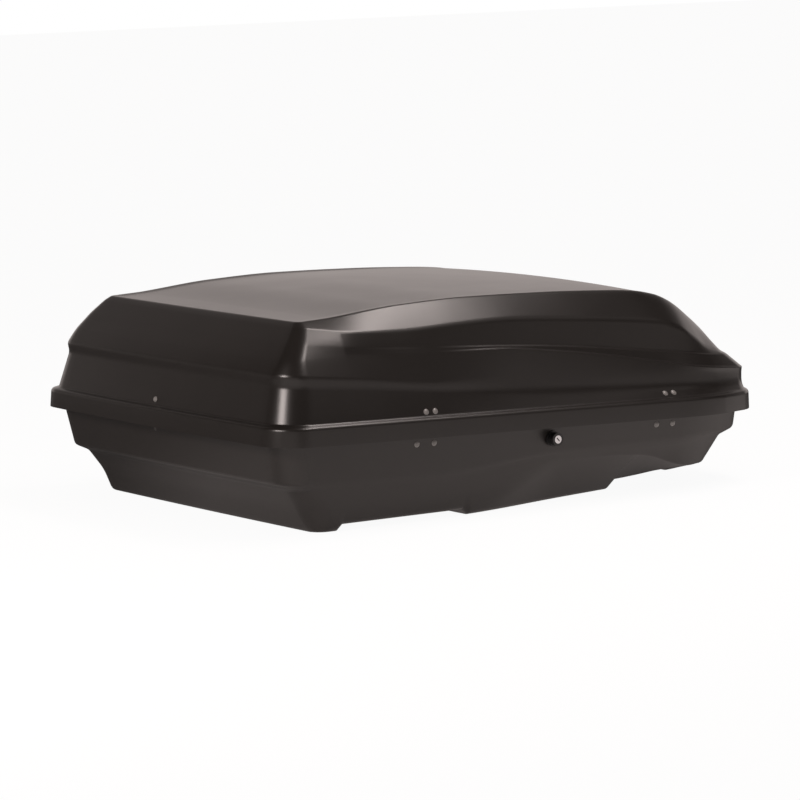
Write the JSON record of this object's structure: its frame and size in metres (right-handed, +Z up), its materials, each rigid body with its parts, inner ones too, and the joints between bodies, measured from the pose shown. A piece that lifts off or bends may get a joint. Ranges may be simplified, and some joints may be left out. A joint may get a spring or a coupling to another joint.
{
  "type": "roof cargo box",
  "caption": "Hard shell roof cargo box with a side-opening lid on hinges, key lock with latch bar, lid stays and slotted floor for roof bars.",
  "frame": {"origin": "centre of the box's footprint, on the plane of its floor pads", "axes": "+X to the nose of the box, +Y to the hinge side, +Z up"},
  "size_m": [1.1476, 0.8777, 0.4003],
  "materials": {
    "lid_abs": "satin vacuum-formed ABS",
    "tray_abs": "fine-grained vacuum-formed ABS",
    "black_nylon": "moulded nylon",
    "chrome": "polished lock barrel",
    "rivet_black": "black blind rivets",
    "zinc_steel": "zinc-plated pressed steel"
  },
  "bodies": {
    "base": {"base_shell": "tray_abs", "hinge_base_leaf_rear": "zinc_steel", "hinge_base_leaf_front": "zinc_steel", "hinge_pin_rear": "zinc_steel", "hinge_pin_front": "zinc_steel", "hinge_base_rivets": "rivet_black", "lock_housing": "black_nylon", "lock_nut": "zinc_steel", "bar_guide_rear": "zinc_steel", "bar_guide_front": "zinc_steel", "guide_rivets": "rivet_black", "stay_base_pivots": "zinc_steel", "floor_plate_rear_left": "zinc_steel", "floor_plate_rear_right": "zinc_steel", "floor_plate_front_left": "zinc_steel", "floor_plate_front_right": "zinc_steel", "floor_plate_rivets": "zinc_steel"},
    "lid": {"lid_shell": "lid_abs", "hinge_lid_leaf_rear": "zinc_steel", "hinge_lid_leaf_front": "zinc_steel", "hinge_lid_rivets": "rivet_black", "striker_rear": "zinc_steel", "striker_front": "zinc_steel", "striker_rivets": "rivet_black", "stay_lid_pivots": "zinc_steel"},
    "lock": {"lock_barrel": "chrome", "lock_cam": "zinc_steel"},
    "bar": {"latch_bar": "zinc_steel"},
    "stay_lower_rear": {"stay_lower_rear": "zinc_steel"},
    "stay_lower_front": {"stay_lower_front": "zinc_steel"},
    "stay_upper_rear": {"stay_upper_rear": "zinc_steel", "stay_elbow_rear": "zinc_steel"},
    "stay_upper_front": {"stay_upper_front": "zinc_steel", "stay_elbow_front": "zinc_steel"}
  },
  "joints": [
    {"name": "lid_hinge", "type": "hinge", "parent": "base", "child": "lid", "pos_m": [-0.00016, 0.429, 0.14842], "axis": [-0.9997, 0, 0.0262], "range_deg": [0, 50]},
    {"name": "lock_turn", "type": "hinge", "parent": "base", "child": "lock", "pos_m": [0.04936, -0.4, 0.12911], "axis": [0, 1, 0], "range_deg": [0, 90.1]},
    {"name": "bar_slide", "type": "slide", "parent": "base", "child": "bar", "axis": [-0.9997, 0, 0.0262], "range_m": [0, 0.02121]},
    {"name": "stay_lower_rear_pivot", "type": "hinge", "parent": "base", "child": "stay_lower_rear", "pos_m": [-0.526, 0.021, 0.16118], "axis": [-0.9997, 0, 0.0262], "range_deg": [0, 57.43]},
    {"name": "stay_upper_rear_pivot", "type": "hinge", "parent": "lid", "child": "stay_upper_rear", "pos_m": [-0.52454, 0.007, 0.21717], "axis": [0.9997, 0, -0.0262], "range_deg": [0, 54.94]},
    {"name": "stay_lower_front_pivot", "type": "hinge", "parent": "base", "child": "stay_lower_front", "pos_m": [0.50664, 0.021, 0.13414], "axis": [-0.9997, 0, 0.0262], "range_deg": [0, 57.43]},
    {"name": "stay_upper_front_pivot", "type": "hinge", "parent": "lid", "child": "stay_upper_front", "pos_m": [0.50811, 0.007, 0.19012], "axis": [0.9997, 0, -0.0262], "range_deg": [0, 54.94]}
  ],
  "couplings": [
    {"joint": "lock_turn", "follows": "bar_slide", "rad_per_m": 74.048},
    {"joint": "stay_lower_rear_pivot", "follows": "lid_hinge", "ratio": 1.1466},
    {"joint": "stay_upper_rear_pivot", "follows": "lid_hinge", "ratio": 1.0967},
    {"joint": "stay_lower_front_pivot", "follows": "lid_hinge", "ratio": 1.1466},
    {"joint": "stay_upper_front_pivot", "follows": "lid_hinge", "ratio": 1.0967}
  ]
}
